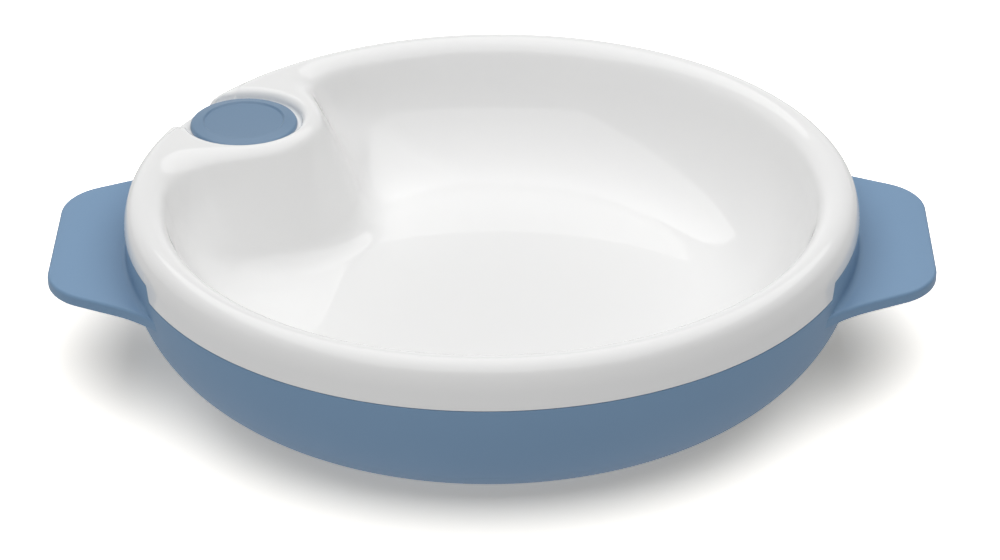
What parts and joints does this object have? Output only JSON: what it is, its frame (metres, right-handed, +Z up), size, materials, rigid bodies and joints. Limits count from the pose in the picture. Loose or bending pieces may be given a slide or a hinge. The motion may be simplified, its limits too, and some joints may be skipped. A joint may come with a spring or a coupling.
{
  "type": "hot water plate",
  "caption": "Double-walled children's plate with tab handles; a stoppered filler in the rim lets hot water into the hollow base to keep food warm.",
  "frame": {"origin": "on the table, under the middle of the plate", "axes": "+Z up out of the dish, +X towards the right-hand handle, +Y away from a diner who has the filler at the back left"},
  "size_m": [0.24, 0.2, 0.0496],
  "materials": {
    "blue_plastic": "satin matt moulded polypropylene",
    "white_plastic": "glossy moulded plastic",
    "blue_stopper": "soft matt elastomer",
    "clear_silicone": "translucent silicone",
    "soft_grey": "matt elastomer"
  },
  "bodies": {
    "plate": {"base_bowl": "blue_plastic", "inner_plate": "white_plastic", "rim_seal": "clear_silicone", "non_slip_ring": "soft_grey"},
    "stopper": {"stopper": "blue_stopper"}
  },
  "joints": [
    {"name": "stopper_lift", "type": "slide", "parent": "plate", "child": "stopper", "axis": [0, 0, 1], "range_m": [0, 0.04]}
  ]
}
